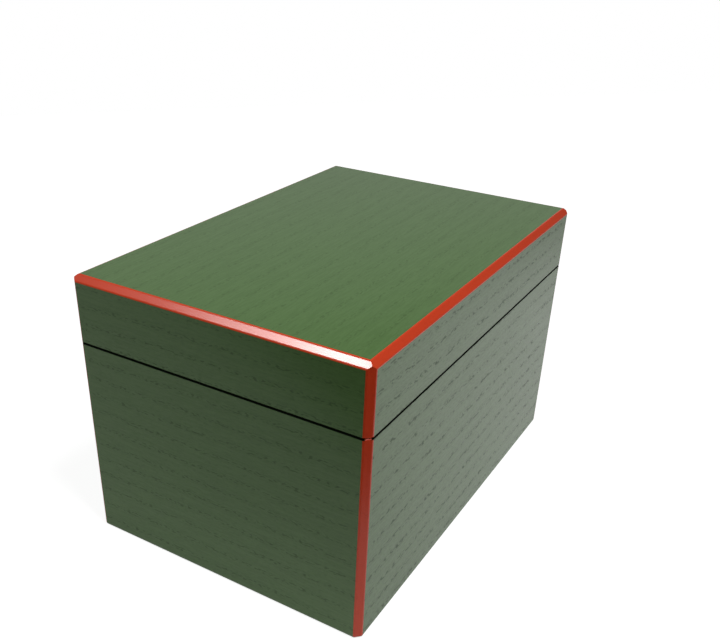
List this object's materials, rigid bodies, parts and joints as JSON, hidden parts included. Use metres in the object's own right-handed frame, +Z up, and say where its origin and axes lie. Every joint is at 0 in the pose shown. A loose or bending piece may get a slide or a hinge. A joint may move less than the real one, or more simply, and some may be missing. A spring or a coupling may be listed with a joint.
{
  "type": "lidded tea utensil box",
  "caption": "Rectangular lacquered wooden box with a flush lift-off lid over an inner lip, and a hanging tray inside.",
  "frame": {"origin": "centre of the underside, on the surface the box stands on", "axes": "+X along the length, +Y across the width towards the back, +Z up"},
  "size_m": [0.213, 0.145, 0.1304],
  "materials": {
    "case": "satin green lacquer over open-pored paulownia, vermilion on the chamfered edges",
    "liner": "satin green lacquer",
    "tray": "satin green lacquer",
    "rim": "glossy vermilion lacquer",
    "slips": "wood slips and pegs, cut flush and lacquered over with the boards"
  },
  "bodies": {
    "body": {"body_front_board": "case", "body_right_board": "case", "body_back_board": "case", "body_left_board": "case", "bottom_board": "case", "bottom_pegs": "slips", "body_corner_keys": "slips", "liner_front_board": "liner", "liner_right_board": "liner", "liner_back_board": "liner", "liner_left_board": "liner"},
    "tray": {"tray_front_side": "tray", "tray_right_side": "tray", "tray_back_side": "tray", "tray_left_side": "tray", "tray_bottom": "tray", "tray_corner_keys": "slips", "tray_rim_front": "rim", "tray_rim_right": "rim", "tray_rim_back": "rim", "tray_rim_left": "rim"},
    "lid": {"lid_front_board": "case", "lid_right_board": "case", "lid_back_board": "case", "lid_left_board": "case", "lid_top_panel": "case", "lid_corner_keys": "slips"}
  },
  "joints": [
    {"name": "tray_lift", "type": "slide", "parent": "body", "child": "tray", "axis": [0, 0, 1], "range_m": [0, 0.06]},
    {"name": "lid_lift", "type": "slide", "parent": "tray", "child": "lid", "axis": [0, 0, 1], "range_m": [0, 0.1]}
  ]
}
